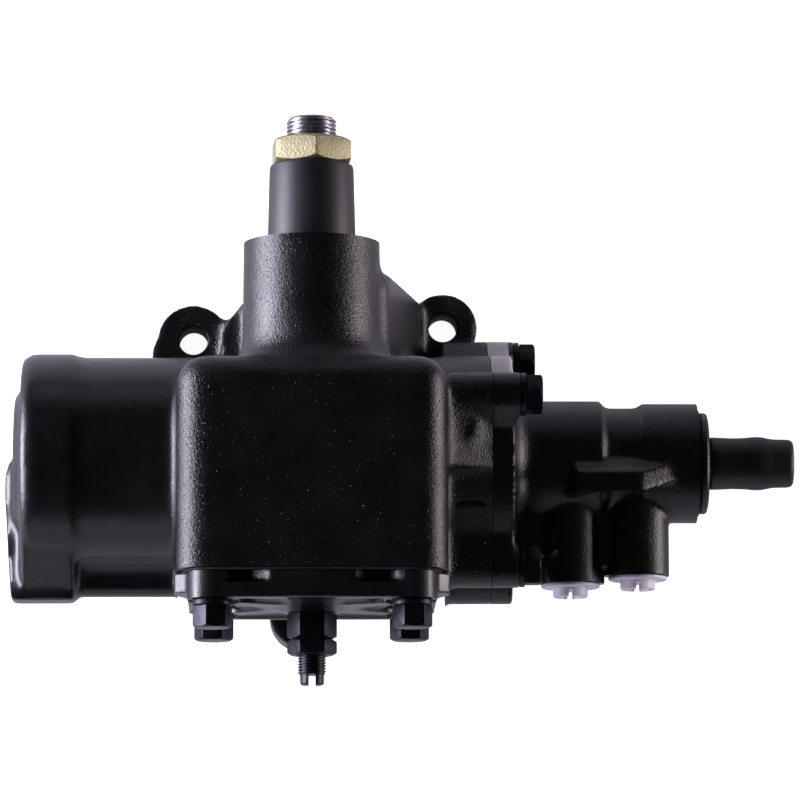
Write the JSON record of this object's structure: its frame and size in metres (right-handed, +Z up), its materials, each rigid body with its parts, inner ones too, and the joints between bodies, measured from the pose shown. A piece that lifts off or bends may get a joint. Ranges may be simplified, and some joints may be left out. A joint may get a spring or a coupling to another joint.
{
  "type": "power steering gearbox",
  "caption": "Recirculating-ball power steering gearbox in gloss black, with an input shaft, a toothed sector shaft for the pitman arm, capped oil ports and mounting ears.",
  "frame": {"origin": "centre of the bounding box, on the plane of the three mounting pads", "axes": "+X along the worm towards the input shaft, +Y along the sector shaft towards the pitman nut, +Z up from the mounting pads"},
  "size_m": [0.3544, 0.2522, 0.152],
  "materials": {
    "black_paint": "gloss black paint on cast iron",
    "blackened_steel": "black oxide, satin",
    "bare_steel": "ground, oiled",
    "yellow_zinc": "pale yellow zinc plating",
    "sleeve_plastic": "satin",
    "black_vinyl": "soft matt vinyl",
    "white_plastic": "translucent white polyethylene",
    "bronze": "bearing bronze",
    "seal_rubber": "matt",
    "gasket_fibre": "pressed fibre"
  },
  "bodies": {
    "housing": {"gear_housing": "black_paint", "valve_housing": "black_paint", "sector_cover": "black_paint", "end_plug": "black_paint", "cover_bolt_1": "blackened_steel", "cover_bolt_2": "blackened_steel", "cover_bolt_3": "blackened_steel", "cover_bolt_4": "blackened_steel", "cover_washer_1": "blackened_steel", "cover_washer_2": "blackened_steel", "cover_washer_3": "blackened_steel", "cover_washer_4": "blackened_steel", "valve_bolt_1": "blackened_steel", "valve_bolt_2": "blackened_steel", "valve_bolt_3": "blackened_steel", "valve_bolt_4": "blackened_steel", "valve_washer_1": "blackened_steel", "valve_washer_2": "blackened_steel", "valve_washer_3": "blackened_steel", "valve_washer_4": "blackened_steel", "adjuster_seal_nut": "blackened_steel", "adjuster_jam_nut": "blackened_steel", "retaining_ring": "blackened_steel", "cover_gasket": "gasket_fibre", "housing_seal": "seal_rubber", "cover_bush": "bronze", "sector_bearing": "bare_steel", "sector_seal": "seal_rubber", "sector_seal_ring": "bare_steel", "thrust_bearing_inner": "bare_steel", "thrust_bearing_outer": "bare_steel", "bearing_retainer": "bare_steel", "input_bearing": "bare_steel", "input_seal": "seal_rubber", "pressure_port_seat": "bronze", "return_port_seat": "bronze"},
    "worm": {"worm_shaft": "bare_steel", "valve_sleeve": "bare_steel", "torsion_bar": "bare_steel"},
    "input": {"input_shaft": "bare_steel"},
    "rack": {"rack_piston": "bare_steel", "piston_ring": "bronze", "piston_end_plug": "bare_steel", "ball_return_guide": "bare_steel", "guide_clamp": "bare_steel", "ball_1": "bare_steel", "ball_2": "bare_steel", "ball_3": "bare_steel", "ball_4": "bare_steel", "ball_5": "bare_steel", "ball_6": "bare_steel"},
    "sector": {"sector_shaft": "bare_steel", "spline_sleeve": "sleeve_plastic", "pitman_nut": "yellow_zinc"},
    "adjuster": {"adjuster_screw": "blackened_steel", "adjuster_shim": "bare_steel"},
    "pressure_cap": {"pressure_port_cap": "white_plastic"},
    "return_cap": {"return_port_cap": "white_plastic"},
    "input_cap": {"input_shaft_cap": "black_vinyl"}
  },
  "joints": [
    {"name": "worm_turn", "type": "hinge", "parent": "housing", "child": "worm", "pos_m": [0, -0.0208, 0.055], "axis": [1, 0, 0], "range_deg": [-745, 745]},
    {"name": "rack_slide", "type": "slide", "parent": "housing", "child": "rack", "axis": [1, 0, 0], "range_m": [-0.02356, 0.02356]},
    {"name": "sector_turn", "type": "hinge", "parent": "housing", "child": "sector", "pos_m": [-0.03995, 0, 0.112], "axis": [0, 1, 0], "range_deg": [-45, 45]},
    {"name": "torsion_twist", "type": "hinge", "parent": "worm", "child": "input", "pos_m": [0, -0.0208, 0.055], "axis": [1, 0, 0], "range_deg": [-5, 5], "stiffness_Nm_per_rad": 80},
    {"name": "adjuster_turn", "type": "hinge", "parent": "housing", "child": "adjuster", "pos_m": [-0.03995, 0, 0.112], "axis": [0, 1, 0], "range_deg": [-180, 180]},
    {"name": "pressure_cap_pull", "type": "slide", "parent": "housing", "child": "pressure_cap", "axis": [0, -1, 0], "range_m": [0, 0.02]},
    {"name": "return_cap_pull", "type": "slide", "parent": "housing", "child": "return_cap", "axis": [0, -1, 0], "range_m": [0, 0.02]},
    {"name": "input_cap_pull", "type": "slide", "parent": "input", "child": "input_cap", "axis": [1, 0, 0], "range_m": [0, 0.04]}
  ],
  "couplings": [
    {"joint": "worm_turn", "follows": "rack_slide", "rad_per_m": -551.16},
    {"joint": "sector_turn", "follows": "rack_slide", "rad_per_m": -33.333}
  ]
}
